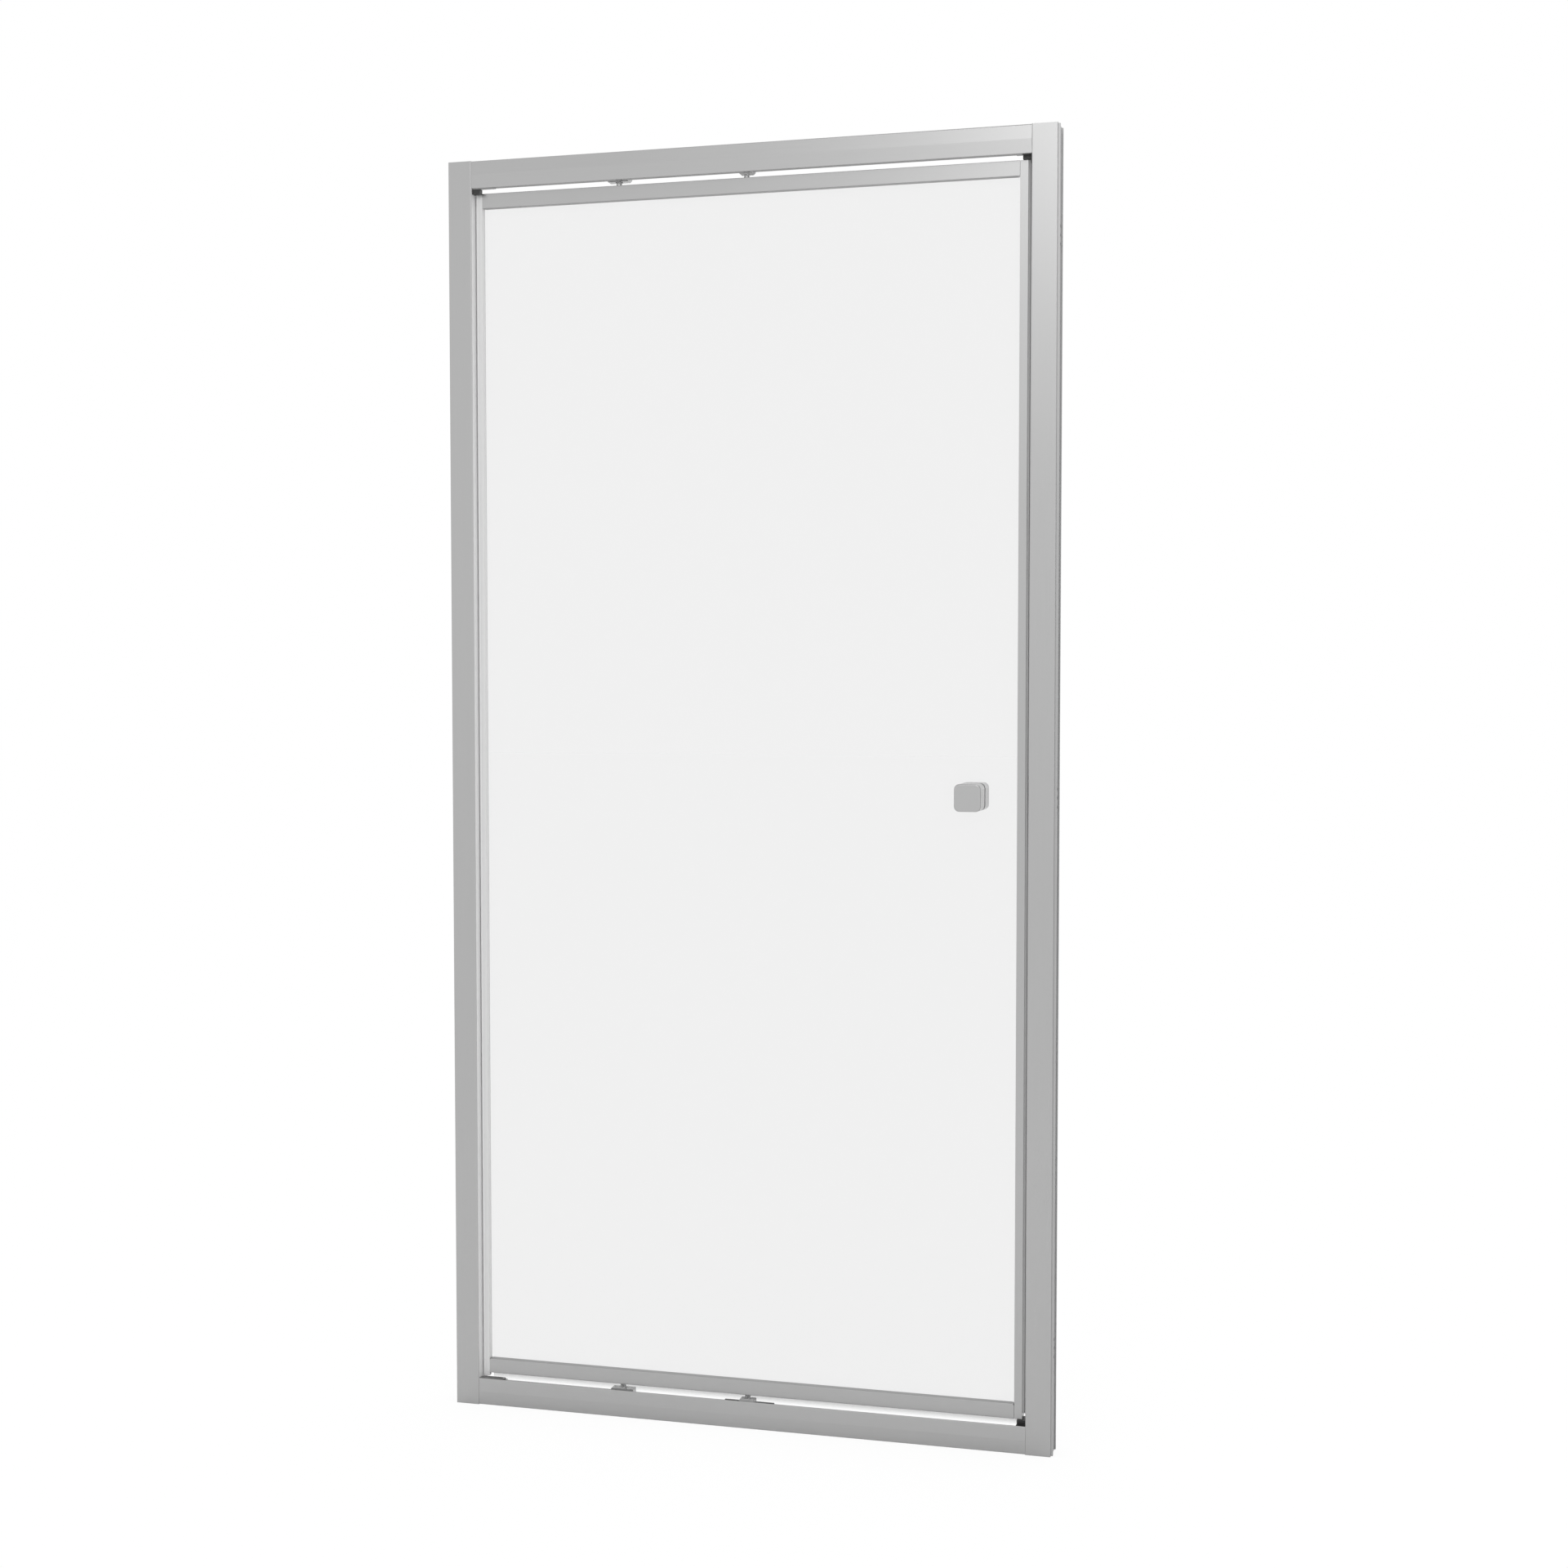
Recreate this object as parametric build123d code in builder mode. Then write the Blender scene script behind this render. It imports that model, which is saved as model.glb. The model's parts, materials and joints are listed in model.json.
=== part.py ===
from build123d import *
import os

# Frame, over the two jambs
frame_width = 950.0
frame_height = 1955.0
frame_depth = 38.0
jamb_face = 38.0
profile_wall = 1.6
edge_radius = 1.2

# Wall channels, which the jambs slip over; each shows by its reveal beside its jamb
hinge_reveal = 0.0
lock_reveal = 3.0
channel_inset = 1.4
channel_wall = 1.6
channel_leg = 26.0
channel_fit = 0.4
foot_width = 4.5
foot_stand = 2.0
slot_length = 46.0
slot_width = 5.0
slot_depth_in = 13.0
hole_depth_in = 25.0
hole_pitch = 13.0
wall_hole_radius = 2.5
cluster_pitch = 820.5

# Head and sill rails; the sill's lip is cut down to a step behind a thin front wall
rail_height = 42.0
rail_setback = 0.5
ridge_rise = 0.7
rail_outer_radius = 2.0
rail_edge_radius = 1.0
lip_depth = 11.5
sill_step_height = 36.5
track_height = 28.0
flange_thickness = 2.5
track_slot = 10.0
port_block = 9.5
front_port_in = 7.0
front_port_height = 7.0
back_port_in = 6.0
screw_radius = 2.0
screw_clearance = 0.1

# Linkage: arm pivot, arm pin and slider pin lie in one vertical plane
pivot_in = 23.5
slider_x = 1.5
pivot_from_jamb = 31.5
arm_width = 16.0
arm_thickness = 4.0
arm_lift = 1.0
arm_eye_height = 6.0
arm_block_length = 37.0
arm_block_width = 14.0
block_bevel = 3.0
sill_block_drop = 1.8
bush_radius = 6.0
bush_flange_radius = 7.5
bush_flange = 0.9
bush_fit = 0.03
pivot_pin_radius = 3.0
leaf_pin_radius = 4.5
pin_clearance = 0.05
pin_depth_in_leaf = 12.0

# Sliders
slider_length = 24.0
slider_width = 13.0
slider_head_length = 30.0
slider_head_width = 18.0
slider_head_height = 5.5
slide_clearance = 0.3
neck_clearance = 0.4

# Arm pivot brackets
bracket_width = 9.0
bracket_foot = 18.0
bracket_gap = 0.4
bracket_tongue = 2.2

# Leaf
leaf_gap = 5.9
leaf_in = 15.5
leaf_depth = 20.0
leaf_wall = 1.5
leaf_floor = 3.0
leaf_rail_height = 22.3
leaf_edge_radius = 0.6
hinge_edge_gap = 5.0
lock_edge_gap = 7.1
hinge_stile_face = 7.0
lock_stile_face = 12.0
bottom_rail_corner = 3.0
lock_joint_gap = 0.4

# Glazing
glass_in_leaf = 9.7
glass_thickness = 5.0
glass_bite = 5.0
rear_lip_drop = 4.0
gasket_wall = 0.5
gasket_lip_reach = 9.0
gasket_lip_height = 0.4

# Seals and magnets
wiper_thickness = 1.4
wiper_root = 1.9
wiper_slot = 1.6
wiper_in_leaf = 17.4
wiper_clearance = 0.4
wiper_end_gap = 1.0
hinge_seal_width = 3.7
hinge_seal_depth = 7.0
strip_depth = 10.7
strip_in_leaf = 1.0
strip_end_gap = 15.0
strip_top_clearance = 0.5
leaf_strip = 3.4
jamb_strip = 3.1
magnet_depth = 7.0
magnet_thickness = 2.0
magnet_cover = 0.6

# Corner pieces
corner_block_length = 14.5
corner_block_depth = 21.0
corner_block_leg = 2.0
corner_leg_height = 5.5
corner_leg_depth = 6.0
corner_clearance = 0.4
hinge_block_length = 13.0
hinge_block_depth = 9.8
hinge_block_height = 7.2
plate_in = 4.0
hinge_plate_length = 37.0
lock_plate_length = 8.5
corner_plate_depth = 7.0
corner_plate_thickness = 0.8
keeper_length = 79.0
keeper_depth = 4.1
keeper_height = 5.0
keeper_clearance = 0.4

# Screws and keys
screw_head_radius = 3.8
screw_head = 2.4
screw_reach = 22.0
bracket_screw_height = 33.5
bracket_screw_reach = 12.0
fixing_inset = 10.0
fixing_height = 300.0
fixing_reach = 6.0
cover_radius = 6.5
cover_height = 3.6
cover_wall = 1.0
key_length = 25.0
key_screw_radius = 1.75
key_head_radius = 3.2
key_head = 2.2
key_screw_in_leaf = 15.5
pin_block_length = 30.0
insert_clearance = 0.1

# Knobs
knob_from_edge = 82.2
knob_width = 40.0
knob_height = 41.0
knob_reach = 35.0
knob_corner = 8.0
knob_edge = 2.0
knob_bore = 12.5
washer_thickness = 0.8
washer_inset = 1.0
stud_radius = 3.0
stud_clearance = 0.05
glass_hole_radius = 6.0
sleeve_clearance = 0.1

# Worked out from the sizes above
front = -frame_depth / 2
back = frame_depth / 2
half_width = frame_width / 2
opening_half = half_width - jamb_face
mid_height = frame_height / 2
mid_plane = Plane.XY.offset(mid_height)


def behind(depth):
    """The y of a point this far behind the jambs' front faces."""
    return front + depth


def rectangle_between(x_from, x_to, y_from, y_to, mode=Mode.ADD):
    """A rectangle in the open sketch, given by its sides, each pair in either order."""
    with Locations(((x_from + x_to) / 2, (y_from + y_to) / 2)):
        Rectangle(abs(x_to - x_from), abs(y_to - y_from), mode=mode)


def mirrored_heights(points):
    """The sketch points (y, z) and their mirror images about mid height."""
    return points + [(y, frame_height - z) for y, z in points]


def save(piece, label):
    """Name a finished piece and write it as its own file."""
    piece.part.label = label
    export_step(piece.part, f"parts/{label}.step")


os.makedirs("parts", exist_ok=True)

# Wall channels
channel_half_depth = back - profile_wall - channel_fit
cluster_heights = [mid_height - cluster_pitch, mid_height, mid_height + cluster_pitch]
slot_points = [(behind(slot_depth_in), z) for z in cluster_heights]
hole_points = [
    (behind(hole_depth_in), z + step * hole_pitch) for z in cluster_heights for step in (-1, 0, 1)
]
fixing_points = [
    (half_width - fixing_inset, z)
    for z in (fixing_height, mid_height, frame_height - fixing_height)
]


def channel_section(face, inward):
    """The plan of a wall channel with its feet at face and its legs pointing inward."""
    web_outer = face + inward * foot_stand
    web_inner = web_outer + inward * channel_wall
    rectangle_between(web_outer, web_inner, -channel_half_depth, channel_half_depth)
    for side in (-1, 1):
        outside = side * channel_half_depth
        rectangle_between(
            face, face + inward * channel_leg, outside, outside - side * channel_wall
        )
        rectangle_between(face, web_inner, outside, outside - side * foot_width)


def wall_holes():
    """The wall screws' slots and round holes, in a sketch across the web."""
    with Locations(*slot_points):
        SlotOverall(slot_length, slot_width, rotation=90)
    with Locations(*hole_points):
        Circle(wall_hole_radius)


def fixing_holes(side):
    """The holes of one side's fixing screws, in a sketch seen from the front."""
    with Locations(*[(side * x, z) for x, z in fixing_points]):
        Circle(screw_radius + screw_clearance)


back_walls = profile_wall + channel_fit + channel_wall
lock_wall = half_width + lock_reveal
with BuildPart() as wall_channel_lock:
    with BuildSketch(Plane.XY.offset(channel_inset)):
        channel_section(lock_wall, -1)
    extrude(amount=frame_height - 2 * channel_inset)
    with BuildSketch(Plane.YZ.offset(lock_wall - foot_stand - channel_wall)):
        wall_holes()
    extrude(amount=channel_wall, mode=Mode.SUBTRACT)
    with BuildSketch(Plane.XZ.offset(-back)):
        fixing_holes(1)
    extrude(amount=back_walls, mode=Mode.SUBTRACT)
save(wall_channel_lock, "wall_channel_lock")

hinge_wall = -half_width - hinge_reveal
with BuildPart() as wall_channel_hinge:
    with BuildSketch(Plane.XY.offset(channel_inset)):
        channel_section(hinge_wall, 1)
    extrude(amount=frame_height - 2 * channel_inset)
    with BuildSketch(Plane.YZ.offset(hinge_wall + foot_stand)):
        wall_holes()
    extrude(amount=channel_wall, mode=Mode.SUBTRACT)
    with BuildSketch(Plane.XZ.offset(-back)):
        fixing_holes(-1)
    extrude(amount=back_walls, mode=Mode.SUBTRACT)
save(wall_channel_hinge, "wall_channel_hinge")

# Jambs
port_points = mirrored_heights(
    [(behind(front_port_in), front_port_height), (back - back_port_in, back_port_in)]
)
bracket_screw_points = mirrored_heights([(behind(pivot_in), bracket_screw_height)])

with BuildPart() as jamb_lock:
    with BuildSketch(Plane.XY) as jamb_section:
        rectangle_between(opening_half, half_width, front, back)
        fillet(jamb_section.vertices(), radius=edge_radius)
        rectangle_between(
            opening_half + profile_wall,
            half_width + profile_wall,
            front + profile_wall,
            back - profile_wall,
            mode=Mode.SUBTRACT,
        )
    extrude(amount=frame_height)
    with BuildSketch(Plane.YZ.offset(opening_half - profile_wall)):
        with Locations(*port_points):
            Circle(screw_radius + screw_clearance)
    extrude(amount=3 * profile_wall, mode=Mode.SUBTRACT)
    with BuildSketch(Plane.XZ.offset(-back)):
        fixing_holes(1)
    extrude(amount=back_walls, mode=Mode.SUBTRACT)
save(jamb_lock, "jamb_lock")

with BuildPart() as jamb_hinge:
    mirror(jamb_lock.part, about=Plane.YZ)
    with BuildSketch(Plane.YZ.offset(-opening_half - 2 * profile_wall)):
        with Locations(*bracket_screw_points):
            Circle(screw_radius + screw_clearance)
    extrude(amount=3 * profile_wall, mode=Mode.SUBTRACT)
save(jamb_hinge, "jamb_hinge")

# The rail, with its lip and track; upside down it is the head rail
lip_back = behind(rail_setback + lip_depth)
rail_edge = behind(rail_setback + ridge_rise)
slot_low = behind(pivot_in) - track_slot / 2
slot_high = behind(pivot_in) + track_slot / 2

with BuildPart() as lip_rail:
    with BuildSketch(Plane.YZ.offset(-opening_half)) as rail_section:
        with BuildLine():
            Polyline(
                (rail_edge, 0),
                (behind(rail_setback), rail_height / 2),
                (rail_edge, rail_height),
                (lip_back, rail_height),
                (lip_back, 0),
                close=True,
            )
        make_face()
        outer_corner = rail_section.vertices().group_by(Axis.Y)[0].sort_by(Axis.X)[0]
        fillet(outer_corner, radius=rail_outer_radius)
        fillet(rail_section.vertices().group_by(Axis.Y)[-1], radius=rail_edge_radius)
        rectangle_between(lip_back, back, 0, profile_wall)
        rectangle_between(back - profile_wall, back, 0, track_height)
        rectangle_between(back - port_block, back, 0, port_block)
        rectangle_between(lip_back, slot_low, track_height - flange_thickness, track_height)
        rectangle_between(slot_high, back, track_height - flange_thickness, track_height)
        rectangle_between(
            rail_edge + profile_wall,
            lip_back - profile_wall,
            front_port_height + screw_radius + profile_wall,
            rail_height - profile_wall,
            mode=Mode.SUBTRACT,
        )
        with Locations(port_points[0], port_points[1]):
            Circle(screw_radius + screw_clearance, mode=Mode.SUBTRACT)
    extrude(amount=2 * opening_half)

with BuildPart() as head_rail:
    mirror(lip_rail.part, about=mid_plane)
save(head_rail, "head_rail")

# The sill's front wall stands alone, and the lip behind it is closed at the step
wall_back = rail_edge + profile_wall
with BuildPart() as sill_rail:
    add(lip_rail.part)
    with BuildSketch(Plane.YZ.offset(-opening_half)):
        rectangle_between(wall_back, lip_back, sill_step_height, rail_height)
    extrude(amount=2 * opening_half, mode=Mode.SUBTRACT)
    with BuildSketch(Plane.YZ.offset(-opening_half)):
        rectangle_between(wall_back, lip_back, sill_step_height - profile_wall, sill_step_height)
    extrude(amount=2 * opening_half)
save(sill_rail, "sill_rail")

# Screws that hold the rails between the jambs, with their heads inside the jambs
with BuildPart() as frame_corner_screws:
    with BuildSketch(Plane.YZ.offset(opening_half + profile_wall)):
        with Locations(*port_points):
            Circle(screw_head_radius)
    extrude(amount=screw_head)
    with BuildSketch(Plane.YZ.offset(opening_half - screw_reach)):
        with Locations(*port_points):
            Circle(screw_radius)
    extrude(amount=screw_reach + profile_wall)
    mirror(about=Plane.YZ)
save(frame_corner_screws, "frame_corner_screws")

# Screws that hold the jambs to the wall channels, and their covers
with BuildPart() as jamb_fixing_screws:
    with BuildSketch(Plane.XZ.offset(-back - screw_head)):
        with Locations(*fixing_points):
            Circle(screw_head_radius)
    extrude(amount=screw_head)
    with BuildSketch(Plane.XZ.offset(-back)):
        with Locations(*fixing_points):
            Circle(screw_radius)
    extrude(amount=fixing_reach)
    mirror(about=Plane.YZ)
save(jamb_fixing_screws, "jamb_fixing_screws")

with BuildPart() as screw_covers:
    with BuildSketch(Plane.XZ.offset(-back - cover_height)):
        with Locations(*fixing_points):
            Circle(cover_radius)
    extrude(amount=cover_height)
    fillet(screw_covers.edges().group_by(Axis.Y)[-1], radius=cover_wall)
    with BuildSketch(Plane.XZ.offset(-back - cover_height + cover_wall)):
        with Locations(*fixing_points):
            Circle(cover_radius - cover_wall)
    extrude(amount=cover_height, mode=Mode.SUBTRACT)
    mirror(about=Plane.YZ)
save(screw_covers, "screw_covers")

# Linkage places along the rails: the arm reaches halfway from its pivot to the slider
pivot_x = pivot_from_jamb - opening_half
arm_length = (slider_x - pivot_x) / 2
arm_pin_x = pivot_x + arm_length
pivot_y = behind(pivot_in)
arm_low = track_height + arm_lift
tongue_low = arm_low + arm_eye_height + bracket_gap
tongue_high = tongue_low + bracket_tongue


def bracket_outline(width):
    """The plan of a bracket tongue from the jamb to its round end about the arm pivot."""
    rectangle_between(-opening_half, pivot_x, pivot_y - width / 2, pivot_y + width / 2)
    with Locations((pivot_x, pivot_y)):
        Circle(width / 2)


# Arm pivot bracket of the sill: a foot against the jamb and two tongues round the arm's eye
with BuildPart() as pivot_bracket_bottom:
    with BuildSketch(Plane.XY.offset(track_height - flange_thickness)):
        bracket_outline(track_slot - 2 * slide_clearance)
    extrude(amount=flange_thickness)
    with BuildSketch(Plane.XY.offset(track_height)):
        rectangle_between(
            -opening_half,
            -opening_half + bracket_foot,
            pivot_y - bracket_width / 2,
            pivot_y + bracket_width / 2,
        )
    extrude(amount=tongue_high - track_height)
    with BuildSketch(Plane.XY.offset(tongue_low)):
        bracket_outline(bracket_width)
    extrude(amount=tongue_high - tongue_low)
    with BuildSketch(Plane.XY):
        with Locations((pivot_x, pivot_y)):
            Circle(pivot_pin_radius + bush_fit)
    extrude(amount=tongue_high, mode=Mode.SUBTRACT)
    with BuildSketch(Plane.YZ.offset(-opening_half)):
        with Locations(bracket_screw_points[0]):
            Circle(screw_radius + screw_clearance)
    extrude(amount=bracket_screw_reach + screw_clearance, mode=Mode.SUBTRACT)
save(pivot_bracket_bottom, "pivot_bracket_bottom")

with BuildPart() as pivot_bracket_top:
    mirror(pivot_bracket_bottom.part, about=mid_plane)
save(pivot_bracket_top, "pivot_bracket_top")

with BuildPart() as bracket_screws:
    with BuildSketch(Plane.YZ.offset(-opening_half - profile_wall - screw_head)):
        with Locations(*bracket_screw_points):
            Circle(screw_head_radius)
    extrude(amount=screw_head)
    with BuildSketch(Plane.YZ.offset(-opening_half - profile_wall)):
        with Locations(*bracket_screw_points):
            Circle(screw_radius)
    extrude(amount=profile_wall + bracket_screw_reach)
save(bracket_screws, "bracket_screws")

pin_foot = track_height - flange_thickness
with BuildPart() as arm_pivot_pins:
    with BuildSketch(Plane.XY.offset(pin_foot)):
        with Locations((pivot_x, pivot_y)):
            Circle(pivot_pin_radius)
    extrude(amount=tongue_high - bush_fit - pin_foot)
    mirror(about=mid_plane)
save(arm_pivot_pins, "arm_pivot_pins")

# Arms; the sill's blocks stand a little lower than the head's hang
sill_block_top = rail_height - sill_block_drop
with BuildPart() as arm_upright:
    with BuildSketch(Plane.XY.offset(arm_low)):
        with Locations(((pivot_x + arm_pin_x) / 2, pivot_y)):
            SlotCenterToCenter(arm_length, arm_width)
    extrude(amount=arm_thickness)
    with BuildSketch(Plane.XY.offset(arm_low)):
        with Locations((pivot_x, pivot_y)):
            Circle(arm_width / 2)
    extrude(amount=arm_eye_height)
    with BuildSketch(Plane.XZ.offset(-pivot_y - arm_block_width / 2)):
        with BuildLine():
            Polyline(
                (arm_pin_x - arm_block_length / 2, arm_low),
                (arm_pin_x - arm_block_length / 2, rail_height - block_bevel),
                (arm_pin_x - arm_block_length / 2 + block_bevel, rail_height),
                (arm_pin_x + arm_block_length / 2 - block_bevel, rail_height),
                (arm_pin_x + arm_block_length / 2, rail_height - block_bevel),
                (arm_pin_x + arm_block_length / 2, arm_low),
                close=True,
            )
        make_face()
    extrude(amount=arm_block_width)
    with BuildSketch(Plane.XY):
        with Locations((pivot_x, pivot_y), (arm_pin_x, pivot_y)):
            Circle(bush_radius + bush_fit)
    extrude(amount=rail_height, mode=Mode.SUBTRACT)

with BuildPart() as arm_top:
    mirror(arm_upright.part, about=mid_plane)
save(arm_top, "arm_top")

with BuildPart() as arm_bottom:
    add(arm_upright.part)
    split(bisect_by=Plane.XY.offset(sill_block_top), keep=Keep.BOTTOM)
save(arm_bottom, "arm_bottom")

# Plain bearings in the arms: a flanged one on the pivot, a plain one on the arm pin
with BuildPart() as arm_bushes:
    with BuildSketch(Plane.XY.offset(arm_low - bush_flange)):
        with Locations((pivot_x, pivot_y)):
            Circle(bush_flange_radius)
    extrude(amount=bush_flange)
    with BuildSketch(Plane.XY.offset(arm_low)):
        with Locations((pivot_x, pivot_y)):
            Circle(bush_radius)
    extrude(amount=arm_eye_height)
    with BuildSketch(Plane.XY):
        with Locations((pivot_x, pivot_y)):
            Circle(pivot_pin_radius + pin_clearance)
    extrude(amount=rail_height, mode=Mode.SUBTRACT)
    with BuildSketch(Plane.XY.offset(arm_low)):
        with Locations((arm_pin_x, pivot_y)):
            Circle(bush_radius)
            Circle(leaf_pin_radius + pin_clearance, mode=Mode.SUBTRACT)
    extrude(amount=sill_block_top - arm_low)
    mirror(about=mid_plane)
save(arm_bushes, "arm_bushes")

# Sliders: a head inside the track, a neck in its slot and a bevelled block below
neck_low = track_height - flange_thickness - slide_clearance
neck_high = track_height + slide_clearance
with BuildPart() as slider_upright:
    with BuildSketch(Plane.XY.offset(neck_low - slider_head_height)):
        with Locations((slider_x, pivot_y)):
            Rectangle(slider_head_length, slider_head_width)
    extrude(amount=slider_head_height)
    with BuildSketch(Plane.XY.offset(neck_low)):
        with Locations((slider_x, pivot_y)):
            Rectangle(slider_length, track_slot - 2 * neck_clearance)
    extrude(amount=neck_high - neck_low)
    with BuildSketch(Plane.XZ.offset(-pivot_y - slider_width / 2)):
        with BuildLine():
            Polyline(
                (slider_x - slider_length / 2, neck_high),
                (slider_x - slider_length / 2, rail_height - block_bevel),
                (slider_x - slider_length / 2 + block_bevel, rail_height),
                (slider_x + slider_length / 2 - block_bevel, rail_height),
                (slider_x + slider_length / 2, rail_height - block_bevel),
                (slider_x + slider_length / 2, neck_high),
                close=True,
            )
        make_face()
    extrude(amount=slider_width)
    with BuildSketch(Plane.XY.offset(arm_low)):
        with Locations((slider_x, pivot_y)):
            Circle(leaf_pin_radius + pin_clearance)
    extrude(amount=rail_height - arm_low, mode=Mode.SUBTRACT)

with BuildPart() as slider_top:
    mirror(slider_upright.part, about=mid_plane)
save(slider_top, "slider_top")

with BuildPart() as slider_bottom:
    add(slider_upright.part)
    split(bisect_by=Plane.XY.offset(sill_block_top), keep=Keep.BOTTOM)
save(slider_bottom, "slider_bottom")

# Leaf edges
leaf_bottom = rail_height + leaf_gap
leaf_front = behind(leaf_in)
leaf_back = leaf_front + leaf_depth
leaf_hinge_edge = -opening_half + hinge_edge_gap
leaf_lock_edge = opening_half - lock_edge_gap
leaf_rail_left = leaf_hinge_edge + hinge_stile_face
leaf_rail_right = leaf_lock_edge - lock_stile_face
leaf_rail_end = leaf_rail_right - lock_joint_gap
glass_front = leaf_front + glass_in_leaf
glass_back = glass_front + glass_thickness
groove_low = glass_front - gasket_wall
groove_high = glass_back + gasket_wall
groove_depth = glass_bite + gasket_wall
ledge = leaf_bottom + leaf_rail_height
groove_floor = ledge - groove_depth
chamber_low = leaf_bottom + leaf_floor
chamber_high = groove_floor - leaf_wall
wiper_low = leaf_front + wiper_in_leaf
key_screw_height = (chamber_low + chamber_high) / 2
key_screw_points = mirrored_heights([(leaf_front + key_screw_in_leaf, key_screw_height)])

with BuildPart() as leaf_bottom_rail:
    with BuildSketch(Plane.YZ.offset(leaf_rail_left)) as leaf_rail_section:
        rectangle_between(leaf_front, leaf_back, leaf_bottom, ledge)
        fillet(leaf_rail_section.vertices(), radius=leaf_edge_radius)
        rectangle_between(
            leaf_front + leaf_wall,
            leaf_back - leaf_wall,
            chamber_low,
            chamber_high,
            mode=Mode.SUBTRACT,
        )
        rectangle_between(groove_low, groove_high, groove_floor, ledge, mode=Mode.SUBTRACT)
        rectangle_between(groove_high, leaf_back, ledge - rear_lip_drop, ledge, mode=Mode.SUBTRACT)
        rectangle_between(
            leaf_front + leaf_wall,
            groove_low - leaf_wall,
            groove_floor,
            ledge - leaf_wall,
            mode=Mode.SUBTRACT,
        )
        rectangle_between(
            wiper_low,
            wiper_low + wiper_slot,
            leaf_bottom,
            leaf_bottom + wiper_root + insert_clearance,
            mode=Mode.SUBTRACT,
        )
    extrude(amount=leaf_rail_end - leaf_rail_left)
    with BuildSketch(Plane.XY.offset(leaf_bottom)):
        with Locations((arm_pin_x, pivot_y), (slider_x, pivot_y)):
            Circle(leaf_pin_radius + insert_clearance)
    extrude(amount=leaf_floor, mode=Mode.SUBTRACT)

with BuildPart() as leaf_top_rail:
    mirror(leaf_bottom_rail.part, about=mid_plane)
save(leaf_top_rail, "leaf_top_rail")

# Only the bottom rail has rounded upper corners
with BuildPart() as bottom_rail_rounded:
    add(leaf_bottom_rail.part)
    for end_x, inward in ((leaf_rail_left, 1), (leaf_rail_end, -1)):
        with BuildSketch(Plane.XZ.offset(-leaf_back)):
            rectangle_between(
                end_x, end_x + inward * bottom_rail_corner, ledge - bottom_rail_corner, ledge
            )
            with Locations((end_x + inward * bottom_rail_corner, ledge - bottom_rail_corner)):
                Circle(bottom_rail_corner, mode=Mode.SUBTRACT)
        extrude(amount=leaf_depth, mode=Mode.SUBTRACT)
save(bottom_rail_rounded, "leaf_bottom_rail")


def stile_section(x_outer, x_inner):
    """The plan of a stile whose glass groove opens at x_inner."""
    inward = 1 if x_inner > x_outer else -1
    rectangle_between(x_outer, x_inner, leaf_front, leaf_back)
    rectangle_between(
        x_inner - inward * groove_depth, x_inner, groove_low, groove_high, mode=Mode.SUBTRACT
    )
    rectangle_between(
        x_outer + inward * leaf_wall,
        x_inner - inward * leaf_wall,
        leaf_front + leaf_wall,
        groove_low - leaf_wall,
        mode=Mode.SUBTRACT,
    )


def rear_window():
    """The leaf's opening seen from behind, where its lips stop short of those in front."""
    rectangle_between(
        leaf_rail_left - rear_lip_drop,
        leaf_rail_right + rear_lip_drop,
        ledge - rear_lip_drop,
        frame_height - ledge + rear_lip_drop,
    )


leaf_height = frame_height - 2 * leaf_bottom

with BuildPart() as leaf_stile_hinge:
    with BuildSketch(Plane.XY.offset(leaf_bottom)):
        stile_section(leaf_hinge_edge, leaf_rail_left)
    extrude(amount=leaf_height)
    with BuildSketch(Plane.YZ.offset(leaf_hinge_edge)):
        with Locations(*key_screw_points):
            Circle(key_screw_radius + screw_clearance)
    extrude(amount=hinge_stile_face, mode=Mode.SUBTRACT)
    with BuildSketch(Plane.XZ.offset(-leaf_back)):
        rear_window()
    extrude(amount=leaf_back - groove_high, mode=Mode.SUBTRACT)
save(leaf_stile_hinge, "leaf_stile_hinge")

with BuildPart() as leaf_stile_lock:
    with BuildSketch(Plane.XY.offset(leaf_bottom)):
        stile_section(leaf_lock_edge, leaf_rail_right)
    extrude(amount=leaf_height)
    with BuildSketch(Plane.YZ.offset(leaf_rail_right)):
        with Locations(*key_screw_points):
            Circle(key_screw_radius + screw_clearance)
    extrude(amount=lock_stile_face, mode=Mode.SUBTRACT)
    with BuildSketch(Plane.XZ.offset(-leaf_back)):
        rear_window()
    extrude(amount=leaf_back - groove_high, mode=Mode.SUBTRACT)
save(leaf_stile_lock, "leaf_stile_lock")

# Corner keys inside the leaf rails' ends, and the screws that pull the stiles onto them
chamber_front = leaf_front + leaf_wall + insert_clearance
chamber_back = leaf_back - leaf_wall - insert_clearance
insert_low = chamber_low + insert_clearance
insert_high = chamber_high - insert_clearance

with BuildPart() as leaf_corner_keys:
    for x_low in (leaf_rail_left, leaf_rail_right - key_length):
        with BuildSketch(Plane.YZ.offset(x_low)):
            rectangle_between(chamber_front, chamber_back, insert_low, insert_high)
            with Locations(key_screw_points[0]):
                Circle(key_screw_radius + screw_clearance, mode=Mode.SUBTRACT)
        extrude(amount=key_length)
    mirror(about=mid_plane)
save(leaf_corner_keys, "leaf_corner_keys")

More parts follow.
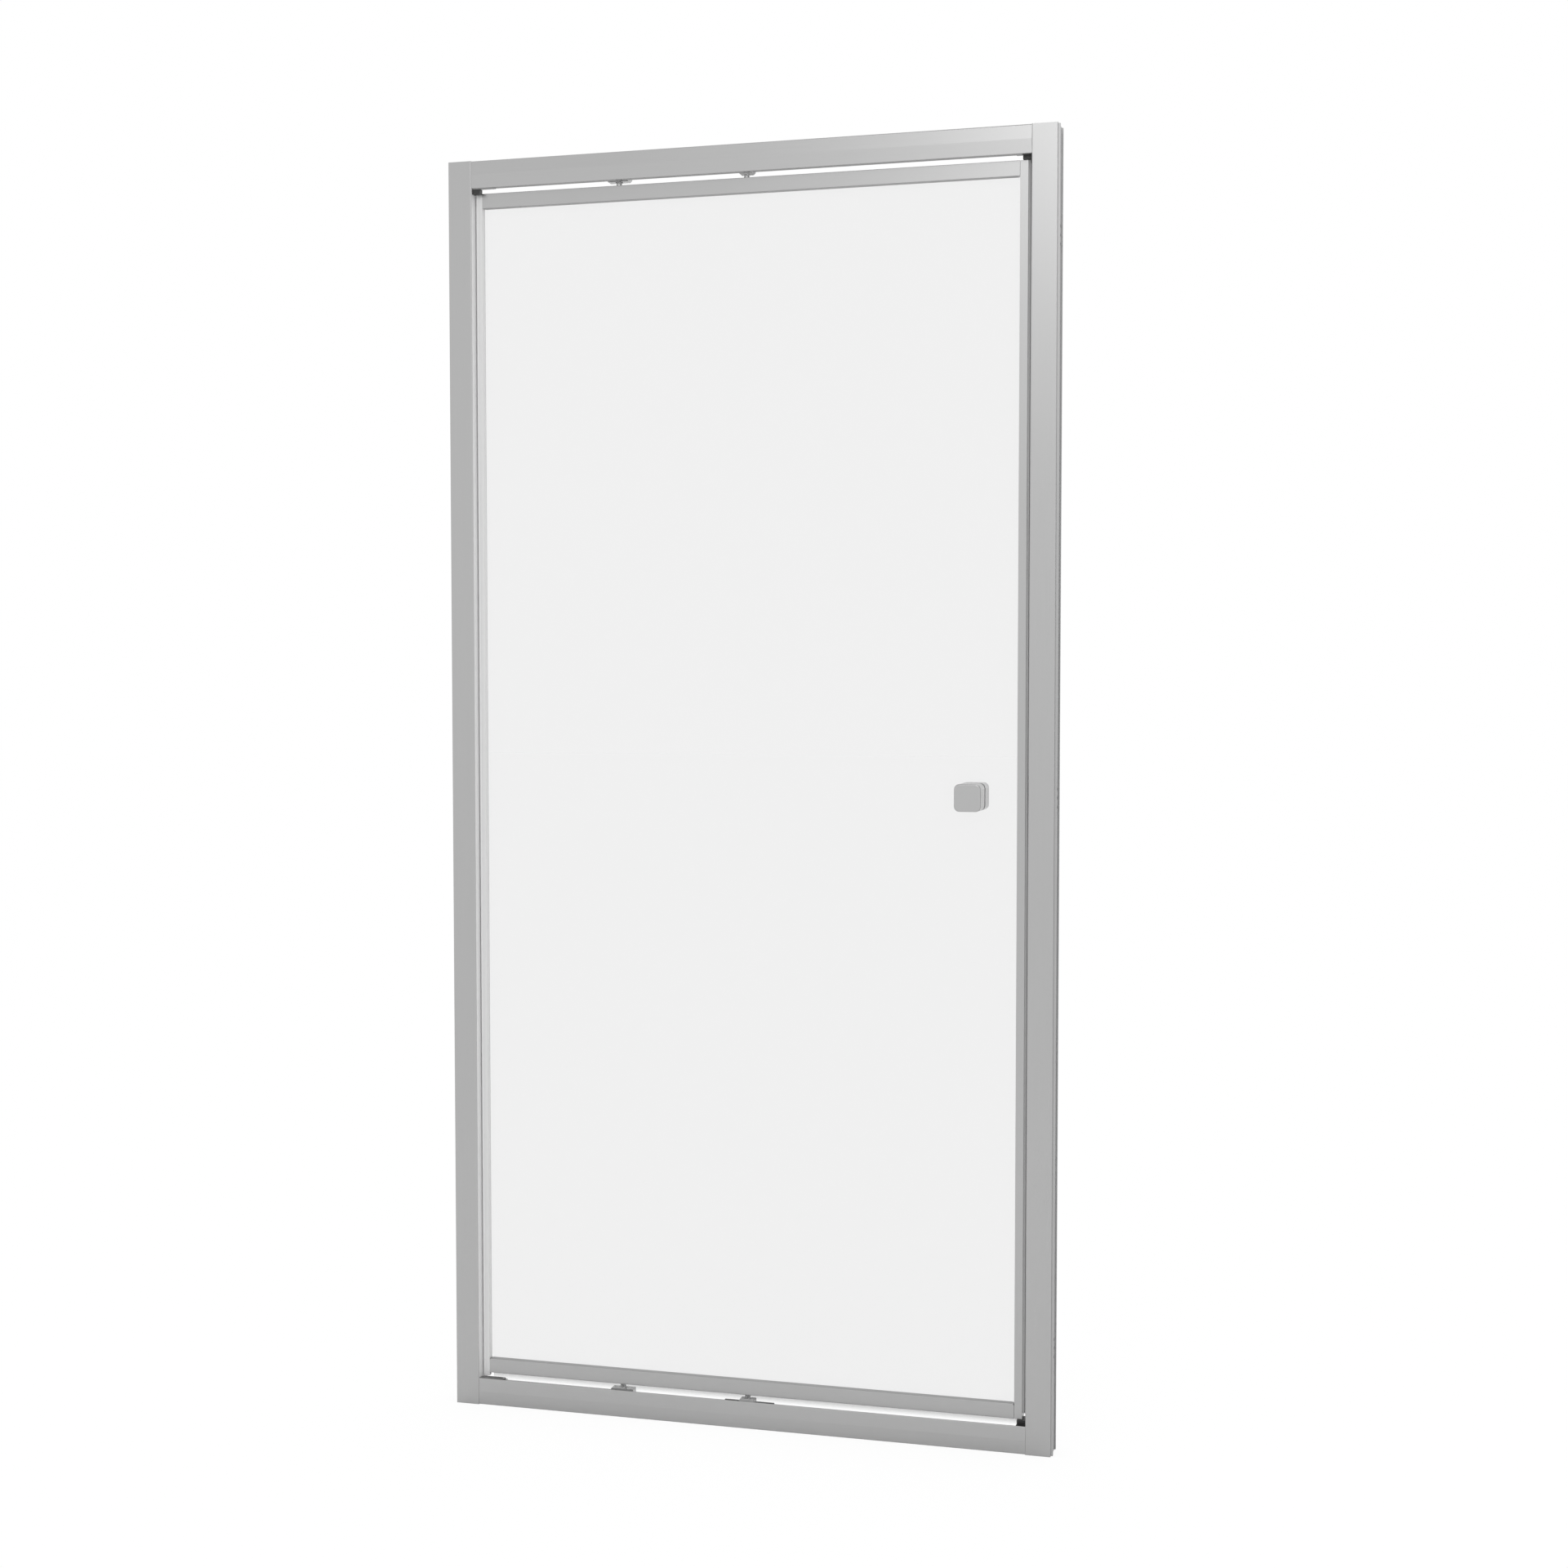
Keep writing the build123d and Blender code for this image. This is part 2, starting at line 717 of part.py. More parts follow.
with BuildPart() as leaf_corner_screws:
    with BuildSketch(Plane.YZ.offset(leaf_hinge_edge - key_head)):
        with Locations(*key_screw_points):
            Circle(key_head_radius)
    extrude(amount=key_head)
    with BuildSketch(Plane.YZ.offset(leaf_hinge_edge)):
        with Locations(*key_screw_points):
            Circle(key_screw_radius)
    extrude(amount=hinge_stile_face + screw_reach)
    with BuildSketch(Plane.YZ.offset(leaf_lock_edge)):
        with Locations(*key_screw_points):
            Circle(key_head_radius)
    extrude(amount=key_head)
    with BuildSketch(Plane.YZ.offset(leaf_rail_right - screw_reach)):
        with Locations(*key_screw_points):
            Circle(key_screw_radius)
    extrude(amount=lock_stile_face + screw_reach)
save(leaf_corner_screws, "leaf_corner_screws")

# Blocks inside the leaf rails that hold the pins, and the pins themselves
with BuildPart() as pin_blocks:
    for x in (arm_pin_x, slider_x):
        with BuildSketch(Plane.YZ.offset(x - pin_block_length / 2)):
            rectangle_between(chamber_front, chamber_back, insert_low, insert_high)
        extrude(amount=pin_block_length)
    with BuildSketch(Plane.XY.offset(insert_low)):
        with Locations((arm_pin_x, pivot_y), (slider_x, pivot_y)):
            Circle(leaf_pin_radius + bush_fit)
    extrude(amount=insert_high - insert_low, mode=Mode.SUBTRACT)
    mirror(about=mid_plane)
save(pin_blocks, "pin_blocks")

pin_low = arm_low + slide_clearance
pin_high = chamber_low + pin_depth_in_leaf
with BuildPart() as arm_pins:
    with BuildSketch(Plane.XY.offset(pin_low)):
        with Locations((arm_pin_x, pivot_y)):
            Circle(leaf_pin_radius)
    extrude(amount=pin_high - pin_low)
    mirror(about=mid_plane)
save(arm_pins, "arm_pins")

with BuildPart() as slider_pins:
    with BuildSketch(Plane.XY.offset(pin_low)):
        with Locations((slider_x, pivot_y)):
            Circle(leaf_pin_radius)
    extrude(amount=pin_high - pin_low)
    mirror(about=mid_plane)
save(slider_pins, "slider_pins")

# Glass and its gasket: a channel all round the pane's edge, with a lip on both rails
glass_left = leaf_rail_left - glass_bite
glass_right = leaf_rail_right + glass_bite
glass_low = ledge - glass_bite
knob_x = leaf_lock_edge - knob_from_edge

with BuildPart() as glass_pane:
    with BuildSketch(Plane.XZ.offset(-glass_back)):
        rectangle_between(glass_left, glass_right, glass_low, frame_height - glass_low)
        with Locations((knob_x, mid_height)):
            Circle(glass_hole_radius, mode=Mode.SUBTRACT)
    extrude(amount=glass_thickness)
save(glass_pane, "glass_pane")

with BuildPart() as glazing_gasket:
    with BuildSketch(Plane.XZ.offset(-groove_high)):
        rectangle_between(
            glass_left - gasket_wall,
            glass_right + gasket_wall,
            glass_low - gasket_wall,
            frame_height - glass_low + gasket_wall,
        )
        rectangle_between(
            leaf_rail_left, leaf_rail_right, ledge, frame_height - ledge, mode=Mode.SUBTRACT
        )
    extrude(amount=groove_high - groove_low)
    with BuildSketch(Plane.XZ.offset(-glass_back)):
        rectangle_between(glass_left, glass_right, glass_low, frame_height - glass_low)
    extrude(amount=glass_thickness, mode=Mode.SUBTRACT)
    with BuildSketch(Plane.XZ.offset(-groove_high)):
        rear_window()
    extrude(amount=gasket_wall, mode=Mode.SUBTRACT)
    with BuildSketch(Plane.XZ.offset(-glass_front)):
        for lip_foot in (ledge, frame_height - ledge - gasket_lip_height):
            rectangle_between(
                leaf_rail_left + bottom_rail_corner,
                leaf_rail_end - bottom_rail_corner,
                lip_foot,
                lip_foot + gasket_lip_height,
            )
    extrude(amount=gasket_lip_reach)
save(glazing_gasket, "glazing_gasket")

# Wiper blade under the leaf, rooted in the bottom rail's slot
with BuildPart() as wiper_seal:
    with BuildSketch(Plane.XY.offset(leaf_bottom)):
        rectangle_between(
            leaf_rail_left,
            leaf_rail_right,
            wiper_low + insert_clearance,
            wiper_low + insert_clearance + wiper_thickness,
        )
    extrude(amount=wiper_root)
    with BuildSketch(Plane.XY.offset(rail_height + wiper_clearance)):
        rectangle_between(
            leaf_rail_left,
            opening_half - corner_block_length - wiper_end_gap,
            wiper_low + insert_clearance,
            wiper_low + insert_clearance + wiper_thickness,
        )
    extrude(amount=leaf_gap - wiper_clearance)
save(wiper_seal, "wiper_seal")

# Seal along the hinge edge of the leaf, with a foot under the stile
with BuildPart() as hinge_seal:
    seal_foot = rail_height + 2 * wiper_clearance
    with BuildSketch(Plane.XY.offset(seal_foot)) as hinge_seal_section:
        rectangle_between(
            leaf_hinge_edge - hinge_seal_width,
            leaf_hinge_edge,
            leaf_front,
            leaf_front + hinge_seal_depth,
        )
        fillet(hinge_seal_section.vertices().group_by(Axis.X)[0], radius=hinge_seal_width / 2)
    extrude(amount=frame_height - leaf_bottom - seal_foot)
    with BuildSketch(Plane.XY.offset(seal_foot)):
        rectangle_between(
            leaf_hinge_edge, leaf_rail_left, leaf_front, leaf_front + hinge_seal_depth
        )
    extrude(amount=leaf_bottom - seal_foot)
save(hinge_seal, "hinge_seal")

# Magnetic closing seals: a strip on the leaf's lock edge and one on the lock jamb
block_top = leaf_bottom - corner_clearance
strip_low = rail_height + strip_end_gap
leaf_strip_height = frame_height - leaf_bottom - strip_low
jamb_strip_high = frame_height - block_top - corner_leg_height - strip_top_clearance
jamb_strip_height = jamb_strip_high - strip_low
strip_front = leaf_front + strip_in_leaf
magnet_front = strip_front + (strip_depth - magnet_depth) / 2

with BuildPart() as leaf_magnet_strip:
    with BuildSketch(Plane.XY.offset(strip_low)):
        rectangle_between(
            leaf_lock_edge, leaf_lock_edge + leaf_strip, strip_front, strip_front + strip_depth
        )
        rectangle_between(
            leaf_lock_edge + leaf_strip - magnet_cover - magnet_thickness,
            leaf_lock_edge + leaf_strip - magnet_cover,
            magnet_front,
            magnet_front + magnet_depth,
            mode=Mode.SUBTRACT,
        )
    extrude(amount=leaf_strip_height)
save(leaf_magnet_strip, "leaf_magnet_strip")

with BuildPart() as leaf_magnet:
    with BuildSketch(Plane.XY.offset(strip_low)):
        rectangle_between(
            leaf_lock_edge + leaf_strip - magnet_cover - magnet_thickness,
            leaf_lock_edge + leaf_strip - magnet_cover,
            magnet_front,
            magnet_front + magnet_depth,
        )
    extrude(amount=leaf_strip_height)
save(leaf_magnet, "leaf_magnet")

with BuildPart() as jamb_magnet_strip:
    with BuildSketch(Plane.XY.offset(strip_low)):
        rectangle_between(
            opening_half - jamb_strip, opening_half, strip_front, strip_front + strip_depth
        )
        rectangle_between(
            opening_half - jamb_strip + magnet_cover,
            opening_half - jamb_strip + magnet_cover + magnet_thickness,
            magnet_front,
            magnet_front + magnet_depth,
            mode=Mode.SUBTRACT,
        )
    extrude(amount=jamb_strip_height)
save(jamb_magnet_strip, "jamb_magnet_strip")

with BuildPart() as jamb_magnet:
    with BuildSketch(Plane.XY.offset(strip_low)):
        rectangle_between(
            opening_half - jamb_strip + magnet_cover,
            opening_half - jamb_strip + magnet_cover + magnet_thickness,
            magnet_front,
            magnet_front + magnet_depth,
        )
    extrude(amount=jamb_strip_height)
save(jamb_magnet, "jamb_magnet")

# Corner blocks that close the gaps at the lock side, each with a leg beside the leaf
with BuildPart() as corner_block_bottom:
    with BuildSketch(Plane.XY.offset(track_height)):
        rectangle_between(
            opening_half - corner_block_length,
            opening_half,
            lip_back,
            lip_back + corner_block_depth,
        )
    extrude(amount=block_top - track_height)
    with BuildSketch(Plane.XY.offset(block_top)):
        rectangle_between(
            opening_half - corner_block_leg,
            opening_half,
            lip_back + corner_block_leg,
            lip_back + corner_block_leg + corner_leg_depth,
        )
    extrude(amount=corner_leg_height)

with BuildPart() as corner_block_top:
    mirror(corner_block_bottom.part, about=mid_plane)
save(corner_block_top, "corner_block_lock_top")

# The sill's block also fills the end of the step in front of it
with BuildPart() as corner_block_footed:
    add(corner_block_bottom.part)
    with BuildSketch(Plane.XY.offset(sill_step_height)):
        rectangle_between(opening_half - corner_block_length, opening_half, wall_back, lip_back)
    extrude(amount=rail_height - sill_step_height)
save(corner_block_footed, "corner_block_lock_bottom")

# Plates under the ends of the head rail's lip; the lock side's stops at the corner block
plate_low = frame_height - rail_height - corner_plate_thickness
plate_front = behind(plate_in)
lock_plate_end = opening_half - corner_block_length
with BuildPart() as head_corner_plates:
    with BuildSketch(Plane.XY.offset(plate_low)):
        rectangle_between(
            -opening_half,
            -opening_half + hinge_plate_length,
            plate_front,
            plate_front + corner_plate_depth,
        )
        rectangle_between(
            lock_plate_end - lock_plate_length,
            lock_plate_end,
            plate_front,
            plate_front + corner_plate_depth,
        )
    extrude(amount=corner_plate_thickness)
save(head_corner_plates, "head_corner_plates")

# Stop block in front of the hinge stile, seated under the head's corner plate
with BuildPart() as corner_block_hinge:
    with BuildSketch(Plane.XY.offset(plate_low - hinge_block_height)):
        rectangle_between(
            -opening_half,
            -opening_half + hinge_block_length,
            plate_front,
            plate_front + hinge_block_depth,
        )
    extrude(amount=hinge_block_height)
save(corner_block_hinge, "corner_block_hinge_top")

# Block in the hinge end of the sill's step
with BuildPart() as corner_block_sill:
    with BuildSketch(Plane.XY.offset(sill_step_height)):
        rectangle_between(-opening_half, -opening_half + hinge_plate_length, wall_back, lip_back)
    extrude(amount=rail_height - sill_step_height)
save(corner_block_sill, "corner_block_hinge_bottom")

# Keeper that guides the bottom slider while the door is shut
keeper_front = pivot_y + slider_width / 2 + keeper_clearance
with BuildPart() as closing_keeper:
    with BuildSketch(Plane.XY.offset(track_height)):
        rectangle_between(
            slider_x - keeper_length / 2,
            slider_x + keeper_length / 2,
            keeper_front,
            keeper_front + keeper_depth,
        )
    extrude(amount=keeper_height)
save(closing_keeper, "closing_keeper")

# Knobs, one each side of the glass, on one stud
outer_seat = glass_front - washer_thickness
inner_seat = glass_back + washer_thickness
knob_face = glass_front - knob_reach

with BuildPart() as knob_outer:
    with BuildSketch(Plane.XZ.offset(-outer_seat)):
        with Locations((knob_x, mid_height)):
            RectangleRounded(knob_width, knob_height, knob_corner)
    extrude(amount=outer_seat - knob_face)
    fillet(knob_outer.faces().sort_by(Axis.Y)[0].edges(), radius=knob_edge)
    with BuildSketch(Plane.XZ.offset(-outer_seat)):
        with Locations((knob_x, mid_height)):
            Circle(stud_radius + stud_clearance)
    extrude(amount=knob_bore, mode=Mode.SUBTRACT)
save(knob_outer, "knob_outer")

glass_mid_plane = Plane.XZ.offset(-(glass_front + glass_back) / 2)
with BuildPart() as knob_inner:
    mirror(knob_outer.part, about=glass_mid_plane)
save(knob_inner, "knob_inner")

with BuildPart() as knob_washers:
    with BuildSketch(Plane.XZ.offset(-glass_front)):
        with Locations((knob_x, mid_height)):
            RectangleRounded(
                knob_width - 2 * washer_inset,
                knob_height - 2 * washer_inset,
                knob_corner - washer_inset,
            )
            Circle(stud_radius + stud_clearance, mode=Mode.SUBTRACT)
    extrude(amount=washer_thickness)
    mirror(about=glass_mid_plane)
save(knob_washers, "knob_washers")

stud_back = inner_seat + knob_bore - sleeve_clearance
with BuildPart() as knob_stud:
    with BuildSketch(Plane.XZ.offset(-stud_back)):
        with Locations((knob_x, mid_height)):
            Circle(stud_radius)
    extrude(amount=stud_back - (outer_seat - knob_bore + sleeve_clearance))
save(knob_stud, "knob_stud")

with BuildPart() as knob_sleeve:
    with BuildSketch(Plane.XZ.offset(-glass_back)):
        with Locations((knob_x, mid_height)):
            Circle(glass_hole_radius - sleeve_clearance)
            Circle(stud_radius + stud_clearance, mode=Mode.SUBTRACT)
    extrude(amount=glass_thickness)
save(knob_sleeve, "knob_sleeve")
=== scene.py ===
import json
import math

import bmesh
import bpy
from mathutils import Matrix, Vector

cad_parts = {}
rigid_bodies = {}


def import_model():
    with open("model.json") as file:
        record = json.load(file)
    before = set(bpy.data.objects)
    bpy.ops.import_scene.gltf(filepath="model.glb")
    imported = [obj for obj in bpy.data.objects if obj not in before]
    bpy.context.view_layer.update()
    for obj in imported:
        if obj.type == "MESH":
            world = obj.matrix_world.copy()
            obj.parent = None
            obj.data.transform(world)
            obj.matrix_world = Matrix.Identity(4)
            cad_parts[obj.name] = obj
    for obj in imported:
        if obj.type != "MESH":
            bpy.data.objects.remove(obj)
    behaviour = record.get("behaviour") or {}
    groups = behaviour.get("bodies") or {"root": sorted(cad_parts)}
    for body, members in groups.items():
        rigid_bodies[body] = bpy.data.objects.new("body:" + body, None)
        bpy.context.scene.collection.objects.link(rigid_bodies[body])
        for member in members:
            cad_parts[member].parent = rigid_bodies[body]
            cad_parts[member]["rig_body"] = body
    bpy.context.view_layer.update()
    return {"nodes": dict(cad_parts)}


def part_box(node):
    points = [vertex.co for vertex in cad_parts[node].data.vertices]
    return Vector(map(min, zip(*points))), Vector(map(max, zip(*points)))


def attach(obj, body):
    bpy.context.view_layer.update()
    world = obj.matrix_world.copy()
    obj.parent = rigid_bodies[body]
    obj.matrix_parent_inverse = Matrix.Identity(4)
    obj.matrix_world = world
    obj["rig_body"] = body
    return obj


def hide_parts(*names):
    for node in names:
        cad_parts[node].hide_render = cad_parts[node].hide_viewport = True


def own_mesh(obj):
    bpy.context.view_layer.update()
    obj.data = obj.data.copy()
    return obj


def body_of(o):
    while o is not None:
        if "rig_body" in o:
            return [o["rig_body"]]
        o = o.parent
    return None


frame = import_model()
nodes = frame["nodes"]
scene = bpy.context.scene
bumpDepth = 0.00005
sharpBend = 0.6
plasticIor = 1.5
print("frame loaded:", len(nodes), "nodes")


# Node maths: a socket with the usual operators
class Sock:
    def __init__(self, net, socket):
        self.net = net
        self.socket = socket

    def other(self, name):
        return Sock(self.net, self.socket.node.outputs[name])

    def combine(self, value, operation, swapped=False):
        first, second = (value, self) if swapped else (self, value)
        return self.net.node("ShaderNodeMath", {"operation": operation}, {0: first, 1: second})

    def __add__(self, value): return self.combine(value, "ADD")
    def __radd__(self, value): return self.combine(value, "ADD", True)
    def __sub__(self, value): return self.combine(value, "SUBTRACT")
    def __rsub__(self, value): return self.combine(value, "SUBTRACT", True)
    def __mul__(self, value): return self.combine(value, "MULTIPLY")
    def __rmul__(self, value): return self.combine(value, "MULTIPLY", True)
    def __truediv__(self, value): return self.combine(value, "DIVIDE")
    def __pow__(self, value): return self.combine(value, "POWER")
    def __gt__(self, value): return self.combine(value, "GREATER_THAN")
    def __lt__(self, value): return self.combine(value, "LESS_THAN")


class Net:
    # a node tree whose nodes all come from node()
    def __init__(self, tree):
        self.tree = tree

    def node(self, kind, settings=None, values=None, out=0):
        made = self.tree.nodes.new(kind)
        for key, value in (settings or {}).items():
            if key == "stops":
                ramp = made.color_ramp
                while len(ramp.elements) < len(value):
                    ramp.elements.new(0.5)
                for element, (position, colour) in zip(ramp.elements, value):
                    element.position = position
                    element.color = colour
            else:
                setattr(made, key, value)
        for key, value in (values or {}).items():
            for one in value if isinstance(value, list) else [value]:
                if isinstance(one, Sock):
                    self.tree.links.new(one.socket, made.inputs[key])
                else:
                    made.inputs[key].default_value = one
        return Sock(self, made.outputs[out]) if made.outputs else None


class Mat(Net):
    # a material or a world; colours mix through mixColour
    def __init__(self, name, owner=None):
        self.data = owner or bpy.data.materials.new(name)
        self.data.use_nodes = True
        super().__init__(self.data.node_tree)
        self.tree.nodes.clear()

    def coords(self, stretch=(1, 1, 1)):
        place = self.node("ShaderNodeTexCoord", out="Object")
        return self.node("ShaderNodeMapping", {}, {"Vector": place, "Scale": stretch})

    def noise(self, size, stretch=(1, 1, 1), detail=2.0, rough=0.5):
        values = {
            "Vector": self.coords(stretch), "Scale": 1.0 / size, "Detail": detail,
            "Roughness": rough,
        }
        return self.node("ShaderNodeTexNoise", {}, values)

    def place(self):
        made = self.node("ShaderNodeTexCoord", out="Object")
        return self.node("ShaderNodeSeparateXYZ", {}, {0: made})

    def mixColour(self, factor, first, second, blend="MIX"):
        made = self.tree.nodes.new("ShaderNodeMix")
        made.data_type = "RGBA"
        made.blend_type = blend
        for key, value in ((0, factor), (6, first), (7, second)):
            if isinstance(value, Sock):
                self.tree.links.new(value.socket, made.inputs[key])
            elif key == 0:
                made.inputs[0].default_value = value
            else:
                made.inputs[key].default_value = (*value, 1.0)
        return Sock(self, made.outputs[2])

    def bump(self, height, strength):
        values = {"Strength": strength, "Distance": bumpDepth, "Height": height}
        return self.node("ShaderNodeBump", {}, values)

    def surface(self, **values):
        shader = self.node("ShaderNodeBsdfPrincipled", {}, values)
        self.node("ShaderNodeOutputMaterial", {}, {"Surface": shader})
        return self.data


class Geo(Net):
    # a geometry tree with named inputs
    def __init__(self, name, inputs):
        super().__init__(bpy.data.node_groups.new(name, "GeometryNodeTree"))
        face = self.tree.interface
        face.new_socket(name="Geometry", in_out="OUTPUT", socket_type="NodeSocketGeometry")
        face.new_socket(name="Geometry", in_out="INPUT", socket_type="NodeSocketGeometry")
        for label, kind in inputs.items():
            face.new_socket(name=label, in_out="INPUT", socket_type="NodeSocket" + kind)
        self.given = self.tree.nodes.new("NodeGroupInput")

    def input(self, label):
        return Sock(self, self.given.outputs[label])

    def vector(self, x=0.0, y=0.0, z=0.0):
        return self.node("ShaderNodeCombineXYZ", {}, {"X": x, "Y": y, "Z": z})

    def moved(self, mesh, **along):
        values = {"Geometry": mesh, "Translation": self.vector(**along)}
        return self.node("GeometryNodeTransform", {}, values)

    def finish(self, mesh, material):
        # rounded sides smooth, edges sharp, instances real, then the material
        mesh = self.node("GeometryNodeRealizeInstances", {}, {"Geometry": mesh})
        values = {"Geometry": mesh, "Shade Smooth": True}
        smooth = self.node("GeometryNodeSetShadeSmooth", {}, values)
        bend = self.node("GeometryNodeInputMeshEdgeAngle")
        values = {"Geometry": smooth, "Selection": bend > sharpBend, "Shade Smooth": False}
        sharp = self.node("GeometryNodeSetShadeSmooth", {"domain": "EDGE"}, values)
        done = self.node("GeometryNodeSetMaterial", {}, {"Geometry": sharp, "Material": material})
        self.node("NodeGroupOutput", {}, {"Geometry": done})

    def run(self, name, mesh, values):
        # a plain mesh object from this tree on a seed mesh
        seed = bpy.data.objects.new(name + "Seed", mesh)
        scene.collection.objects.link(seed)
        build = seed.modifiers.new("build", "NODES")
        build.node_group = self.tree
        ids = {s.name: s.identifier for s in self.tree.interface.items_tree if s.in_out == "INPUT"}
        for label, value in values.items():
            build[ids[label]] = value
        seen = seed.evaluated_get(bpy.context.evaluated_depsgraph_get())
        made = bpy.data.meshes.new_from_object(seen)
        seed.modifiers.remove(build)
        bpy.data.objects.remove(seed)
        piece = bpy.data.objects.new(name, made)
        scene.collection.objects.link(piece)
        return piece


def grey(level):
    # the scene-linear colour that shows as this 8-bit grey
    c = level / 255
    linear = c / 12.92 if c <= 0.04045 else ((c + 0.055) / 1.055) ** 2.4
    return (linear, linear, linear)


def makeMetal(name, look):
    # satin extrusion: lines along the length, soft clouding, fine grain
    mat = Mat(name)
    lines = mat.noise(look["lineSize"], look["alongLength"], detail=3.0)
    clouds = mat.noise(look["cloudSize"], detail=2.0)
    grain = mat.noise(look["grainSize"], detail=1.0)
    share = look["lineShare"]
    mixed = lines * share + clouds * (1 - share)
    tone = mat.mixColour(mixed, grey(look["dark"]), grey(look["light"]))
    metal = look["metal"]
    if "innerFrom" in look:
        # painted light: the jambs' inner walls, which sit in shade beside the leaf, get a lighter
        # painted tone and less metal, so they scatter more light than they mirror
        place = mat.place()
        depth = place.other("Y")
        paintedLightWall = (depth > look["innerFrom"]) * (depth < look["innerTo"])
        paintedLightWall = paintedLightWall * (place * place < look["innerAcross"] ** 2)
        tone = mat.mixColour(paintedLightWall, tone, grey(look["innerPaintedLightTone"]))
        metal = metal + (look["innerMetal"] - metal) * paintedLightWall
    rough = look["rough"] + (lines - 0.5) * look["roughLines"]
    rough = rough + (clouds - 0.5) * look["roughClouds"]
    height = lines * share + grain * (1 - share)
    return mat.surface(**{
        "Base Color": tone, "Metallic": metal, "Roughness": rough,
        "Normal": mat.bump(height, look["bump"]),
    })


def makePlastic(name, look):
    mat = Mat(name)
    clouds = mat.noise(look["cloudSize"], detail=3.0)
    grain = mat.noise(look["grainSize"], detail=2.0)
    tone = mat.mixColour(clouds, grey(look["dark"]), grey(look["light"]))
    rough = look["rough"] + (grain - 0.5) * look["roughGrain"]
    return mat.surface(**{
        "Base Color": tone, "Roughness": rough, "IOR": plasticIor,
        "Transmission Weight": look["clear"],
        "Normal": mat.bump(grain, look["bump"]),
    })


def makeGlass(name, look):
    # a thin clear pane: mostly open, with a faint grey body and faint smudges
    mat = Mat(name)
    smudges = mat.noise(look["smudgeSize"], detail=4.0)
    tone = mat.mixColour(smudges, grey(look["dark"]), grey(look["light"]))
    return mat.surface(**{
        "Base Color": tone, "Roughness": smudges * look["smudge"] + look["rough"],
        "IOR": look["ior"],
        "Alpha": look["body"] + (smudges - 0.5) * look["bodySmudge"],
    })


def makeBlade(name, look):
    # soft clear plastic, milky at the root and clearer toward the tip
    mat = Mat(name)
    rise = (mat.place().other("Z") - look["tipHeight"]) / (look["rootHeight"] - look["tipHeight"])
    share = mat.node("ShaderNodeClamp", {}, {"Value": rise})
    grain = mat.noise(look["grainSize"], detail=2.0)
    tone = mat.mixColour(grain, grey(look["dark"]), grey(look["light"]))
    return mat.surface(**{
        "Base Color": tone, "Roughness": look["rough"] + (grain - 0.5) * look["roughGrain"],
        "Alpha": look["tip"] + (look["root"] - look["tip"]) * share,
        "Normal": mat.bump(grain, look["bump"]),
    })


uprightLook = {
    "dark": 182, "light": 188, "metal": 1.0, "rough": 0.32, "roughLines": 0.06, "roughClouds": 0.05,
    "lineSize": 0.0012, "lineShare": 0.6, "alongLength": (1, 1, 0.01), "cloudSize": 0.18,
    "grainSize": 0.0006, "bump": 0.12,
}
levelLook = dict(uprightLook, alongLength=(0.01, 1, 1))
jambLow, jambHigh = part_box("jamb_hinge")
wallHalf = 0.0008
faceDepth = 0.001
# the inner-wall tone here is painted light: the jambs' inner walls, in shade beside the leaf, are
# painted a lighter grey and made less metallic
jambLook = dict(
    uprightLook, innerFrom=jambLow[1] + faceDepth, innerTo=jambHigh[1] - faceDepth,
    innerAcross=wallHalf - jambHigh[0], innerPaintedLightTone=222, innerMetal=0.1
)
stileLook = dict(uprightLook, dark=214, light=220, metal=0.35)
channelLook = dict(uprightLook, dark=172, light=182, rough=0.4)
knobLook = {
    "dark": 186, "light": 190, "metal": 1.0, "rough": 0.22, "roughLines": 0.03, "roughClouds": 0.04,
    "lineSize": 0.0008, "lineShare": 0.6, "alongLength": (1, 1, 1), "cloudSize": 0.02,
    "grainSize": 0.0003, "bump": 0.05,
}
pinLook = dict(knobLook, dark=212, light=222, rough=0.2, metal=0.75)
screwLook = dict(knobLook, dark=160, light=185, rough=0.3)
armLook = dict(knobLook, dark=210, light=217, rough=0.22, metal=0.6)
greyPlasticLook = {
    "dark": 165, "light": 172, "clear": 0.0, "rough": 0.45, "roughGrain": 0.1, "cloudSize": 0.02,
    "grainSize": 0.0004, "bump": 0.2,
}
whitePlasticLook = dict(greyPlasticLook, dark=212, light=220)
sliderLook = dict(greyPlasticLook, dark=196, light=204, rough=0.25)
darkPlasticLook = dict(greyPlasticLook, dark=104, light=116)
blackPlasticLook = dict(greyPlasticLook, dark=36, light=44, rough=0.4)
sealLook = dict(greyPlasticLook, dark=150, light=158, rough=0.5)
magnetLook = dict(greyPlasticLook, dark=44, light=60, rough=0.7)
gasketLook = dict(greyPlasticLook, dark=152, light=158, rough=0.6)
milkySealLook = dict(
    greyPlasticLook, dark=230, light=236, rough=0.35, roughGrain=0.08, clear=0.1, bump=0.1
)
bladeLook = {
    "dark": 212, "light": 220, "rough": 0.3, "roughGrain": 0.08, "grainSize": 0.0004, "bump": 0.1,
    "tip": 0.02, "root": 0.26, "tipHeight": 0.034, "rootHeight": 0.0405,
}
glassLook = {
    "dark": 128, "light": 136, "body": 0.09, "bodySmudge": 0.006, "rough": 0.01, "smudge": 0.02,
    "smudgeSize": 0.25, "ior": 1.5,
}

